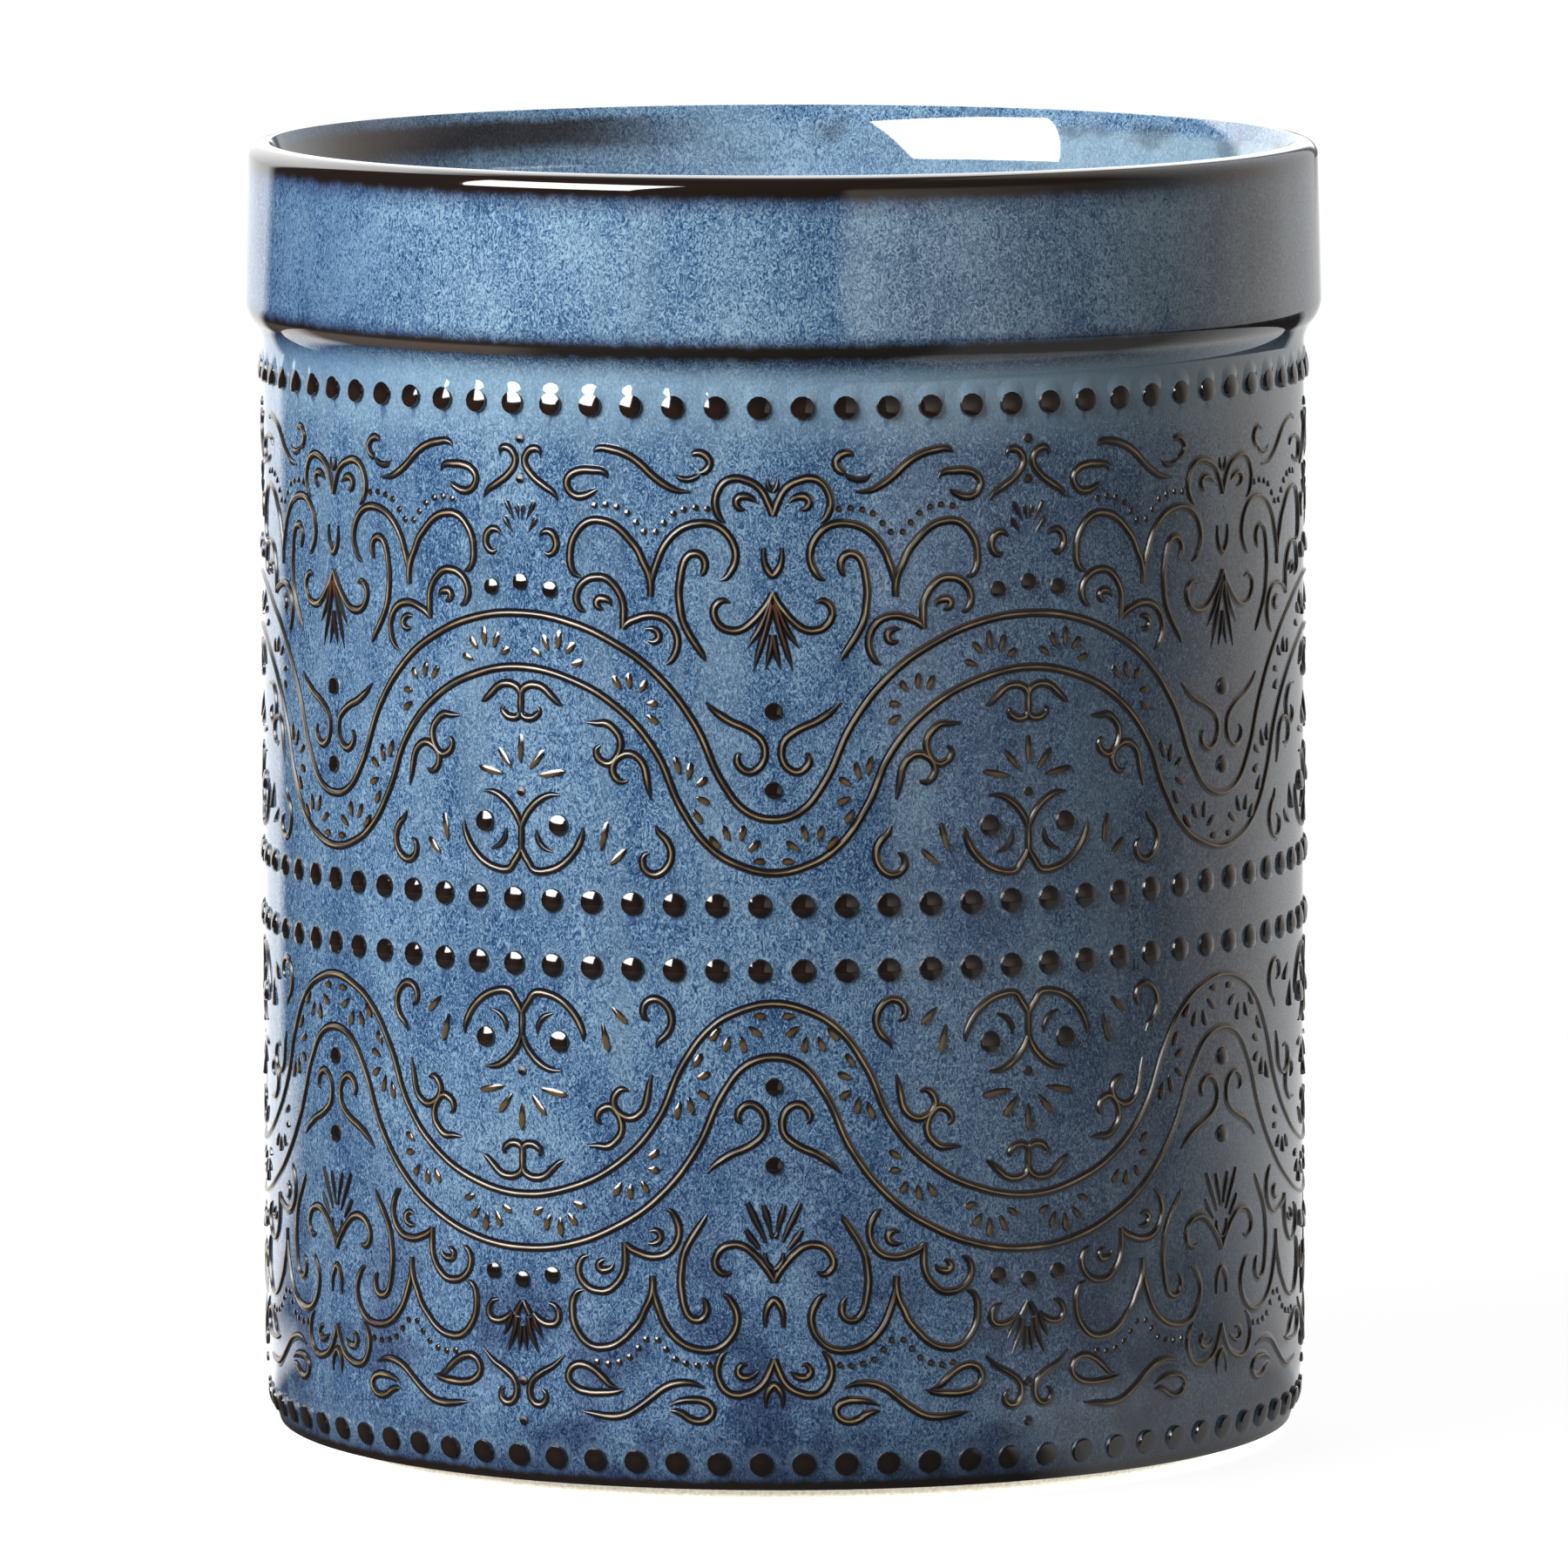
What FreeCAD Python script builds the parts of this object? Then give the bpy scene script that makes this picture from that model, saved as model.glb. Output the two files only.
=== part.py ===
"""Utensil crock: a glazed stoneware cylinder with a heavy collar, bead rows, studs and raised wave lines.

Millimetres, +Z up, origin at the centre of the foot's underside, -Y towards the front of the ornament.
"""

import FreeCAD
import Part
import Sketcher

import math
import os

# Driving dimensions, each written once and held in the sheet
SIZES = (
    ("overall_height", 184.0),
    ("wall_radius", 73.7),
    ("wall_thickness", 5.0),
    ("base_inset", 1.8),
    ("base_curve_height", 11.0),
    ("floor_thickness", 7.0),
    ("cove_radius", 8.0),
    ("collar_height", 28.6),
    ("collar_overhang", 2.5),
    ("collar_taper", 0.6),
    ("ogee_height", 6.4),
    ("rim_thickness", 5.5),
    ("rim_round", 2.4),
    ("lip_ease_width", 2.7),
    ("lip_ease_height", 9.0),
    ("foot_height", 2.0),
    ("foot_inset", 7.7),
    ("foot_width", 5.0),
    ("foot_round", 0.6),
    ("beads_per_row", 78),
    ("bead_diameter", 3.4),
    ("bead_rise", 0.8),
    ("collar_row_gap", 3.2),
    ("base_row_height", 5.8),
    ("row_gap", 9.0),
    ("ornament_repeats", 6),
    ("wave_line_width", 1.1),
    ("wave_line_rise", 0.55),
    ("eye_stud_diameter", 3.0),
    ("axis_stud_diameter", 2.5),
    ("crest_stud_diameter", 2.2),
    ("dot_stud_diameter", 1.4),
)

# The ornament closes up towards the front and opens out at the back by this share
drift_share = 0.06
# The first bead right of the front axis, as a share of the bead pitch
bead_phase_share = 0.685
# A stud's rise as a share of its own diameter
stud_rise_share = 0.26
# The rim's outer round and its eased inner lip are each at most this share of its thickness
rim_limit_share = 0.49
# A foot edge's round is at most this share of the foot's height
foot_round_limit_share = 0.4

# Half a wave from crest to trough: share of the half repeat, share of the register's height
outer_wave_shares = (
    (0.0, 0.576), (0.2, 0.563), (0.4, 0.520), (0.55, 0.464),
    (0.7, 0.366), (0.81, 0.245), (0.9, 0.189), (1.0, 0.174),
)
inner_wave_shares = (
    (0.0, 0.4675), (0.2, 0.449), (0.4, 0.394), (0.55, 0.308),
    (0.65, 0.194), (0.76, 0.116), (0.88, 0.079), (1.0, 0.066),
)
# Studs of half a repeat: share of the half repeat, share of the register's height, size
stud_shares = (
    (0.0, 0.928, "dot_stud_diameter"),
    (0.0, 0.847, "dot_stud_diameter"),
    (0.0, 0.640, "crest_stud_diameter"),
    (0.127, 0.627, "crest_stud_diameter"),
    (0.0, 0.217, "dot_stud_diameter"),
    (0.160, 0.153, "eye_stud_diameter"),
    (1.0, 0.392, "axis_stud_diameter"),
    (1.0, 0.233, "axis_stud_diameter"),
)

# Heights and radii that follow from the sheet
JOINT_HEIGHT = "(sizes.overall_height - sizes.collar_height)"
INNER_RADIUS = "(sizes.wall_radius - sizes.wall_thickness)"
FLOOR_RADIUS = f"({INNER_RADIUS} - sizes.cove_radius)"
FLOOR_TOP = "(sizes.foot_height + sizes.floor_thickness)"
COVE_TOP = f"({FLOOR_TOP} + sizes.cove_radius)"
BASE_TURN = "(sizes.foot_height + sizes.base_curve_height)"
BASE_ARC = "((sizes.base_inset ^ 2 + sizes.base_curve_height ^ 2) / (2 * sizes.base_inset))"
COLLAR_RADIUS = "(sizes.wall_radius + sizes.collar_overhang)"
OGEE_ARC = "((sizes.collar_overhang ^ 2 + sizes.ogee_height ^ 2) / (4 * sizes.collar_overhang))"
RIM_RADIUS = f"({COLLAR_RADIUS} - sizes.collar_taper)"
MOUTH_RADIUS = f"({RIM_RADIUS} - sizes.rim_thickness)"
RIM_ROUND = f"min(sizes.rim_round; {rim_limit_share} * sizes.rim_thickness)"
LIP_EASE = f"min(sizes.lip_ease_width; {rim_limit_share} * sizes.rim_thickness)"
LIP_ARC = f"(({LIP_EASE} ^ 2 + sizes.lip_ease_height ^ 2) / (2 * {LIP_EASE}))"
FOOT_RADIUS = "(sizes.wall_radius - sizes.foot_inset)"
FOOT_ROUND = f"min(sizes.foot_round; {foot_round_limit_share} * sizes.foot_height)"

UP = FreeCAD.Vector(0, 0, 1)
ORIGIN = FreeCAD.Vector()

doc = FreeCAD.newDocument("utensil_crock")
sheet = doc.addObject("Spreadsheet::Sheet", "sizes")
for row, (alias, number) in enumerate(SIZES, start=1):
    sheet.set(f"A{row}", alias)
    sheet.set(f"B{row}", str(number))
    sheet.setAlias(f"B{row}", alias)
doc.recompute()

parts = []


def value(expression):
    """The number that an expression on the sheet comes to."""
    return float(sheet.evalExpression(str(expression)))


def new_body(label):
    """An empty body that is one of the crock's pieces."""
    body = doc.addObject("PartDesign::Body", label)
    body.Label = label
    parts.append(body)
    return body


def new_sketch(body, name, plane):
    """A sketch on one of its own body's origin planes."""
    sketch = body.newObject("Sketcher::SketchObject", name)
    support = next(f for f in body.Origin.OriginFeatures if f.Role == plane)
    sketch.AttachmentSupport = (support, [""])
    sketch.MapMode = "FlatFace"
    return sketch


def arc_between(start, end, radius):
    """The short arc from start to end, turning left for a positive radius, and whether it runs backwards."""
    first, last = (start, end) if radius > 0 else (end, start)
    chord = last - first
    middle = (first + last) * 0.5
    side = UP.cross(chord).normalize()
    centre = middle + side * math.sqrt(radius ** 2 - (chord.Length / 2) ** 2)
    angles = [math.atan2(p.y - centre.y, p.x - centre.x) for p in (first, last)]
    return Part.ArcOfCircle(Part.Circle(centre, UP, abs(radius)), *angles), radius < 0


def draw_profile(sketch, corners):
    """A closed outline of (radius, height, arc) corners bound to the sheet; an arc leads to the next one."""
    places = [FreeCAD.Vector(value(x), value(y), 0) for x, y, _ in corners]
    ends = []
    for i, (_, _, arc) in enumerate(corners):
        start, end = places[i], places[(i + 1) % len(places)]
        if arc:
            sign, radius = arc
            shape, backwards = arc_between(start, end, sign * value(radius))
        else:
            shape, backwards = Part.LineSegment(start, end), False
        ends.append((sketch.addGeometry(shape), 2 if backwards else 1, 1 if backwards else 2))
    for i, (x, y, arc) in enumerate(corners):
        edge, here, _ = ends[i]
        before, _, there = ends[i - 1]
        sketch.addConstraint(Sketcher.Constraint("Coincident", before, there, edge, here))
        for kind, expression in (("DistanceX", x), ("DistanceY", y)):
            n = sketch.addConstraint(Sketcher.Constraint(kind, -1, 1, edge, here, value(expression)))
            sketch.setExpression(f"Constraints[{n}]", str(expression))
        if arc:
            n = sketch.addConstraint(Sketcher.Constraint("Radius", edge, value(arc[1])))
            sketch.setExpression(f"Constraints[{n}]", arc[1])


def turn(body, kind, name, corners):
    """Turns a profile once round Z, adding (Revolution) or cutting (Groove)."""
    sketch = new_sketch(body, f"{name}_profile", "XZ_Plane")
    draw_profile(sketch, corners)
    feature = body.newObject(f"PartDesign::{kind}", name)
    feature.Profile = sketch
    feature.ReferenceAxis = (sketch, ["V_Axis"])
    feature.Angle = 360
    doc.recompute()
    return feature


def make_base_ring():
    """The ring under the wall: drawn in at its lower edge, with the cove and the floor's seat inside."""
    body = new_body("base_ring")
    form = turn(body, "Revolution", "outer_form", (
        ("0", "sizes.foot_height", None),
        ("(sizes.wall_radius - sizes.base_inset)", "sizes.foot_height", (1, BASE_ARC)),
        ("sizes.wall_radius", BASE_TURN, None),
        ("sizes.wall_radius", COVE_TOP, None),
        ("0", COVE_TOP, None),
    ))
    turn(body, "Groove", "hollow", (
        ("0", "sizes.foot_height", None),
        (FLOOR_RADIUS, "sizes.foot_height", None),
        (FLOOR_RADIUS, FLOOR_TOP, (1, "sizes.cove_radius")),
        (INNER_RADIUS, COVE_TOP, None),
        ("0", COVE_TOP, None),
    ))
    return form.Shape


def make_collar():
    """The heavy collar on the wall: an ogee underneath, a slight taper, a rounded rim and an eased lip."""
    half_way = f"({JOINT_HEIGHT} + sizes.ogee_height / 2)"
    rim_top = "sizes.overall_height"
    turn(new_body("rim_collar"), "Revolution", "collar_form", (
        (INNER_RADIUS, JOINT_HEIGHT, None),
        ("sizes.wall_radius", JOINT_HEIGHT, (-1, OGEE_ARC)),
        ("(sizes.wall_radius + sizes.collar_overhang / 2)", half_way, (1, OGEE_ARC)),
        (COLLAR_RADIUS, f"({JOINT_HEIGHT} + sizes.ogee_height)", None),
        (RIM_RADIUS, f"({rim_top} - {RIM_ROUND})", (1, RIM_ROUND)),
        (f"({RIM_RADIUS} - {RIM_ROUND})", rim_top, None),
        (f"({MOUTH_RADIUS} + {LIP_EASE})", rim_top, (1, LIP_ARC)),
        (MOUTH_RADIUS, f"({rim_top} - sizes.lip_ease_height)", None),
    ))


def make_disc(label, radii, base_height, thickness):
    """A disc, or a ring between two radii, padded up from its base height."""
    body = new_body(label)
    sketch = new_sketch(body, f"{label}_outline", "XY_Plane")
    sketch.setExpression(".AttachmentOffset.Base.z", base_height)
    for radius in radii:
        edge = sketch.addGeometry(Part.Circle(ORIGIN, UP, value(radius)))
        sketch.addConstraint(Sketcher.Constraint("Coincident", edge, 3, -1, 1))
        n = sketch.addConstraint(Sketcher.Constraint("Radius", edge, value(radius)))
        sketch.setExpression(f"Constraints[{n}]", radius)
    pad = body.newObject("PartDesign::Pad", f"{label}_pad")
    pad.Profile = sketch
    pad.setExpression("Length", thickness)
    doc.recompute()
    return body, pad


def make_foot_ring():
    """The unglazed ring that the crock stands on, with its lower edges eased."""
    radii = (FOOT_RADIUS, f"({FOOT_RADIUS} - sizes.foot_width)")
    body, pad = make_disc("foot_ring", radii, "0", "sizes.foot_height")
    lower = [
        f"Edge{i}" for i, edge in enumerate(pad.Shape.Edges, start=1)
        if edge.BoundBox.ZMax < value("sizes.foot_height / 2")
    ]
    ease = body.newObject("PartDesign::Fillet", "foot_ease")
    ease.Base = (pad, lower)
    ease.setExpression("Radius", FOOT_ROUND)
    doc.recompute()


def place(angle, radius, height):
    """The point at an angle right of the front, a radius and a height."""
    return FreeCAD.Vector(radius * math.sin(angle), -radius * math.cos(angle), height)


def surface_radius(height):
    """The wall's outer radius at a height, drawn in along the base curve."""
    below = max(0.0, value(BASE_TURN) - height)
    arc = value(BASE_ARC)
    return sheet.wall_radius - arc + math.sqrt(arc ** 2 - below ** 2)


def dome(form, height, diameter, rise):
    """A bead at the front: the cap of a ball that stands out of the wall."""
    ball = ((diameter / 2) ** 2 + rise ** 2) / (2 * rise)
    return Part.makeSphere(ball, place(0, surface_radius(height) + rise - ball, height)).cut(form)


def turned_copies(shape, angles):
    """The same shape at each angle round the crock."""
    return [shape.rotated(ORIGIN, UP, math.degrees(a)) for a in angles]


def add_group(label, solids):
    """A piece made of separate solids, or of one."""
    piece = doc.addObject("Part::Feature", label)
    piece.Label = label
    piece.Shape = Part.makeCompound(solids)
    piece.Placement = FreeCAD.Placement()
    parts.append(piece)


def make_bead_row(label, form, height):
    """One ring of beads, evenly spaced."""
    pitch = 2 * math.pi / sheet.beads_per_row
    angles = [(k + bead_phase_share) * pitch for k in range(round(sheet.beads_per_row))]
    add_group(label, turned_copies(dome(form, height, sheet.bead_diameter, sheet.bead_rise), angles))


def ornament_angle(halves):
    """The angle right of the front after a number of half repeats, closed up at the front."""
    even = halves * math.pi / sheet.ornament_repeats
    return even - drift_share * math.sin(even)


def half_repeats():
    """Each half repeat as its crest and the way to its trough; a trough stands at the front."""
    for repeat in range(round(sheet.ornament_repeats)):
        crest = 2 * repeat + 1
        yield crest, -1
        yield crest, 1


def make_studs(label, form, register):
    """The single round studs between the scrolls of one register."""
    solids = []
    for across, up, size in stud_shares:
        diameter = getattr(sheet, size)
        stud = dome(form, register(up), diameter, stud_rise_share * diameter)
        on_axis = across in (0.0, 1.0)
        angles = [ornament_angle(c + way * across) for c, way in half_repeats() if way > 0 or not on_axis]
        solids += turned_copies(stud, angles)
    add_group(label, solids)


def wave_points(shares, register):
    """Angle, height and slope factor of a wave line's points, once round the crock from a crest."""
    ring = []
    for crest in range(1, 2 * round(sheet.ornament_repeats), 2):
        down = [(crest + across, up) for across, up in shares]
        rise = [(crest + 2 - across, up) for across, up in reversed(shares)]
        ring += [(ornament_angle(halves), register(up)) for halves, up in down[:-1] + rise[:-1]]
    points = []
    for i, (angle, height) in enumerate(ring):
        before, after = ring[i - 1], ring[(i + 1) % len(ring)]
        run = (after[0] - before[0]) % (2 * math.pi) * sheet.wall_radius
        points.append((angle, height, math.hypot(1, (after[1] - before[1]) / run)))
    return points


def wave_edges(points, radius, offset, pieces):
    """One long edge of a wave line at a radius, cut at every crest and trough."""
    curve = Part.BSplineCurve()
    curve.interpolate(Points=[place(a, radius, z + offset * s) for a, z, s in points], PeriodicFlag=True)
    knots = curve.getKnots()
    step = len(points) // pieces
    edges = []
    for i in range(pieces):
        stretch = curve.copy()
        stretch.segment(knots[i * step], knots[(i + 1) * step])
        edges.append(stretch.toShape())
    return edges


def make_wave_line(label, shares, register):
    """One raised wave line all round the wall, a closed ring of even width."""
    half_width = sheet.wave_line_width / 2
    inside, outside = sheet.wall_radius, sheet.wall_radius + sheet.wave_line_rise
    points = wave_points(shares, register)
    halves = 2 * round(sheet.ornament_repeats)
    corners = ((inside, -half_width), (outside, -half_width), (outside, half_width), (inside, half_width))
    edges = [wave_edges(points, radius, offset, halves) for radius, offset in corners]
    faces = [
        Part.makeRuledSurface(edges[corner - 1][half], edges[corner][half])
        for corner in range(len(corners)) for half in range(halves)
    ]
    shell = Part.makeShell(faces)
    shell.sewShape()
    line = Part.makeSolid(shell)
    if line.Volume < 0:
        line.reverse()
    add_group(label, [line])


def main():
    base_form = make_base_ring()
    make_disc("wall", ("sizes.wall_radius", INNER_RADIUS), COVE_TOP, f"({JOINT_HEIGHT} - {COVE_TOP})")
    make_collar()
    make_disc("floor_slab", (FLOOR_RADIUS,), "sizes.foot_height", "sizes.floor_thickness")
    make_foot_ring()
    wall_form = Part.makeCylinder(sheet.wall_radius, sheet.overall_height)

    # Bead rows bound two registers of ornament; the lower register mirrors the upper one
    base_row = sheet.base_row_height
    collar_row = value(JOINT_HEIGHT) - sheet.collar_row_gap
    register_height = (collar_row - base_row - sheet.row_gap) / 2
    lower_middle_row = base_row + register_height
    upper_middle_row = lower_middle_row + sheet.row_gap
    make_bead_row("collar_bead_row", wall_form, collar_row)
    make_bead_row("upper_middle_bead_row", wall_form, upper_middle_row)
    make_bead_row("lower_middle_bead_row", wall_form, lower_middle_row)
    make_bead_row("base_bead_row", base_form, base_row)
    for name, register in (
        ("upper", lambda up: upper_middle_row + up * register_height),
        ("lower", lambda up: lower_middle_row - up * register_height),
    ):
        make_wave_line(f"{name}_outer_wave_line", outer_wave_shares, register)
        make_wave_line(f"{name}_inner_wave_line", inner_wave_shares, register)
        make_studs(f"{name}_studs", wall_form, register)

    doc.recompute()
    for thing in doc.Objects:
        if "Invalid" in thing.State or "Error" in thing.State:
            raise RuntimeError(f"{thing.Label} failed: {thing.State}")
    for piece in parts:
        if piece.Shape.isNull() or not piece.Shape.isValid():
            raise RuntimeError(f"{piece.Label} has no valid shape")
    os.makedirs("parts", exist_ok=True)
    for piece in parts:
        piece.Shape.exportStep(f"parts/{piece.Label}.step")
        solids = piece.Shape.Solids
        print(f"{piece.Label}: {len(solids)} solids, {sum(s.Volume for s in solids) / 1000:.2f} cm3")


main()
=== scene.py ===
"""Looks of the utensil crock: glazed stoneware with bead rows, raised wave lines and scrolls.

Values are in millimetres and the model is in metres; +Z is up and -Y the front of the ornament.
"""

import math
from functools import partial

import bmesh
import bpy
from mathutils import Matrix, Vector


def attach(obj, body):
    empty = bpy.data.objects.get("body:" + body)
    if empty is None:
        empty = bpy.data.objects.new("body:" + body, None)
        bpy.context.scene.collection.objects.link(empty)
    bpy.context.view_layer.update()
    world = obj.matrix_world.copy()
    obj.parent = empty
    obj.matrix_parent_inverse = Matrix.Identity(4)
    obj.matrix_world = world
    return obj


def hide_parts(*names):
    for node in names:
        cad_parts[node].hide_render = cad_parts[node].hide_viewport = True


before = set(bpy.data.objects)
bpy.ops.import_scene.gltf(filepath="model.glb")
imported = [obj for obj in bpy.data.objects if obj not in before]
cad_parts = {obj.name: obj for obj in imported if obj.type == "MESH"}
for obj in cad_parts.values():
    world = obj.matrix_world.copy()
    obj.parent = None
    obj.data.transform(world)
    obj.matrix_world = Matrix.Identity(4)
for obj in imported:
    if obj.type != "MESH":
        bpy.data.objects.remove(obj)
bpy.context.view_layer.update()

MM = 0.001
# Fineness of a turned shape, round the axis and round an eased corner, and the angle of an edge left sharp
ROUND_STEPS = 360
EASE_STEPS = 10
CREASE = math.radians(30)

# The crock's own sizes, as its solids have them; a round is how far it eases a corner
HEIGHT = 184.0
WALL_RADIUS = 73.7
INNER_RADIUS = 68.7
FOOT_HEIGHT = 2.0
FOOT_INNER_RADIUS = 61.0
FOOT_OUTER_RADIUS = 66.0
FOOT_ROUND = 0.6
FLOOR_TOP = 9.0
FLOOR_RADIUS = 60.7
COVE_TOP = 17.0
COVE_ROUND = 7.99
BASE_RADIUS = 71.9
BASE_EDGE_ROUND = 0.3
BASE_TURN = 13.0
BASE_ARC = 34.51
BASE_CORNER = 7.35
BASE_ROUND = 5.6
JOINT_HEIGHT = 155.4
OGEE_FOOT = 157.2
OGEE_HEAD = 160.0
OGEE_ROUND = 1.7
COLLAR_RADIUS = 76.2
RIM_RADIUS = 75.6
RIM_EDGE = 183.5
RIM_ROUND = 1.7
LIP_RADIUS = 72.8
LIP_ROUND = 0.25
MOUTH_RADIUS = 70.1
MOUTH_EDGE = 179.9
MOUTH_ROUND = 4.7
MOUTH_LOW = 175.0

# Bead rows and the two registers of ornament between them; the phase is the first bead's, in beads
BEADS = 78
BEAD_PHASE = 0.685
BEAD_DIAMETER = 3.4
BEAD_RISE = 0.7
COLLAR_ROW = 152.2
UPPER_ROW = 83.5
LOWER_ROW = 74.5
BASE_ROW = 5.8
REGISTER = 68.7
REPEATS = 6
# How much closer than even the repeats stand at the front
DRIFT = 0.06
HALF_REPEAT = math.pi * WALL_RADIUS / REPEATS


def upper(up):
    """The height of a share of the upper register."""
    return UPPER_ROW + up * REGISTER


def lower(up):
    """The height of a share of the lower register, which hangs down from the middle."""
    return LOWER_ROW - up * REGISTER


def surface_radius(height):
    """The wall's outer radius, drawn in along the base curve."""
    below = max(0.0, BASE_TURN - height)
    return WALL_RADIUS - BASE_ARC + math.sqrt(BASE_ARC ** 2 - below ** 2)


def on_wall(angle, height, out):
    """The point that stands out from the wall by so much, at an angle right of the front."""
    radius = surface_radius(height) + out
    return Vector((radius * math.sin(angle), -radius * math.cos(angle), height)) * MM


def ornament_angle(halves):
    """The angle right of the front after a number of half repeats, closed up at the front."""
    even = halves * math.pi / REPEATS
    return even - DRIFT * math.sin(even)


def half_repeats():
    """Each half repeat as its crest and the way to its trough; a trough stands at the front."""
    return [(crest, way) for crest in range(1, 2 * REPEATS, 2) for way in (-1, 1)]


# Drawing of the ornament in half a repeat, from a crest (0) to a trough (1), and up its register

# A line whose end is narrower than thin starts to thin out one point before it
THIN = 0.7
THINNING = 0.85


def stroke(*points, start=0.45, end=0.45):
    """A drawn line as (across, up, width) points, narrowed at its two ends and thinning out towards them."""
    widths = [start] + [1.0] * (len(points) - 2) + [end]
    for place, width in ((1, start), (-2, end)):
        if width < THIN:
            widths[place] = THINNING
    return [(across, up, width) for (across, up), width in zip(points, widths)]


def seed(head, tail, width=1.0):
    """A drop with a round head and a pointed tail."""
    shape = ((0.0, 0.5), (0.1, 0.95), (0.32, 1.05), (0.68, 0.72), (1.0, 0.25))
    return [
        (head[0] + (tail[0] - head[0]) * t, head[1] + (tail[1] - head[1]) * t, width * w)
        for t, w in shape
    ]


OUTER_WAVE = stroke(
    (0.0, 0.576), (0.2, 0.563), (0.4, 0.520), (0.55, 0.464),
    (0.7, 0.366), (0.81, 0.245), (0.9, 0.189), (1.0, 0.174), start=1.0, end=1.0)
INNER_WAVE = stroke(
    (0.0, 0.4675), (0.2, 0.449), (0.4, 0.394), (0.55, 0.308),
    (0.65, 0.194), (0.76, 0.116), (0.88, 0.079), (1.0, 0.066), start=1.0, end=1.0)

ARCHES = (
    stroke(
        (0.256, 0.6545), (0.231, 0.6595), (0.213, 0.677), (0.2105, 0.70), (0.216, 0.721), (0.238, 0.744),
        (0.271, 0.762), (0.304, 0.769), (0.336, 0.769), (0.376, 0.764), (0.413, 0.752), (0.449, 0.733),
        (0.482, 0.712), (0.504, 0.687), (0.522, 0.668), (0.5327, 0.645), (0.5327, 0.619), end=0.9),
    stroke(
        (0.5345, 0.645), (0.547, 0.672), (0.558, 0.6885), (0.576, 0.712), (0.602, 0.733), (0.6345, 0.75),
        (0.6745, 0.762), (0.718, 0.7675), (0.7545, 0.7675), (0.7945, 0.761), (0.831, 0.744), (0.853, 0.723),
        (0.86, 0.704), (0.855, 0.687), (0.842, 0.673), (0.824, 0.6595), (0.802, 0.654), start=0.8),
)
HOOKS = (
    stroke(
        (0.744, 0.492), (0.733, 0.503), (0.7036, 0.5265), (0.678, 0.548), (0.656, 0.573), (0.6455, 0.604),
        (0.642, 0.631), (0.649, 0.6615), (0.656, 0.680), (0.6745, 0.70), (0.70, 0.707), (0.7255, 0.704),
        (0.74, 0.694), (0.7436, 0.683), (0.736, 0.669), (0.7255, 0.6615)),
    stroke((0.966, 0.72), (0.967, 0.695), (0.98, 0.675), (1.0, 0.6645), start=0.6, end=1.0),
)
TREFOILS = (
    stroke(
        (0.2745, 0.584), (0.253, 0.59), (0.237, 0.606), (0.237, 0.619), (0.249, 0.6345), (0.282, 0.65),
        (0.318, 0.655), (0.3545, 0.653), (0.384, 0.642), (0.409, 0.625), (0.424, 0.604), (0.426, 0.5805),
        (0.424, 0.553), end=0.9),
    stroke(
        (0.424, 0.555), (0.442, 0.565), (0.478, 0.574), (0.5145, 0.580), (0.551, 0.5805), (0.587, 0.575),
        (0.613, 0.563), (0.631, 0.546), (0.637, 0.5265), (0.627, 0.505), (0.609, 0.49), (0.591, 0.483),
        start=0.8),
    stroke(
        (0.38, 0.598), (0.369, 0.6075), (0.347, 0.612), (0.3255, 0.6106), (0.318, 0.602), (0.329, 0.594),
        (0.347, 0.590)),
    stroke((0.5145, 0.554), (0.54, 0.554), (0.562, 0.546), (0.562, 0.534), (0.544, 0.528), (0.522, 0.530)),
)
HEARTS = (
    stroke(
        (0.82, 0.769), (0.802, 0.777), (0.787, 0.793), (0.7815, 0.81), (0.791, 0.831), (0.816, 0.850),
        (0.856, 0.858), (0.90, 0.854), (0.936, 0.845), (0.962, 0.831), (0.98, 0.812), (0.991, 0.798),
        (1.0, 0.784), end=0.95),
    stroke(
        (0.94, 0.809), (0.922, 0.8176), (0.893, 0.8226), (0.871, 0.8195), (0.862, 0.81), (0.8745, 0.798),
        (0.896, 0.796), start=0.35),
)
ANCHORS = (
    stroke(
        (1.0, 0.628), (0.984, 0.611), (0.958, 0.592), (0.922, 0.571), (0.878, 0.555), (0.8345, 0.5535),
        (0.802, 0.561), (0.78, 0.577), (0.775, 0.592), (0.787, 0.606), (0.813, 0.613), (0.838, 0.609),
        start=0.95),
    stroke(
        (0.744, 0.409), (0.776, 0.392), (0.80, 0.3826), (0.842, 0.369), (0.8855, 0.3595), (0.929, 0.346),
        (0.958, 0.331), (0.969, 0.311), (0.962, 0.29), (0.94, 0.275), (0.907, 0.269), (0.878, 0.277),
        (0.864, 0.29), (0.867, 0.302), (0.878, 0.307)),
)
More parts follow.
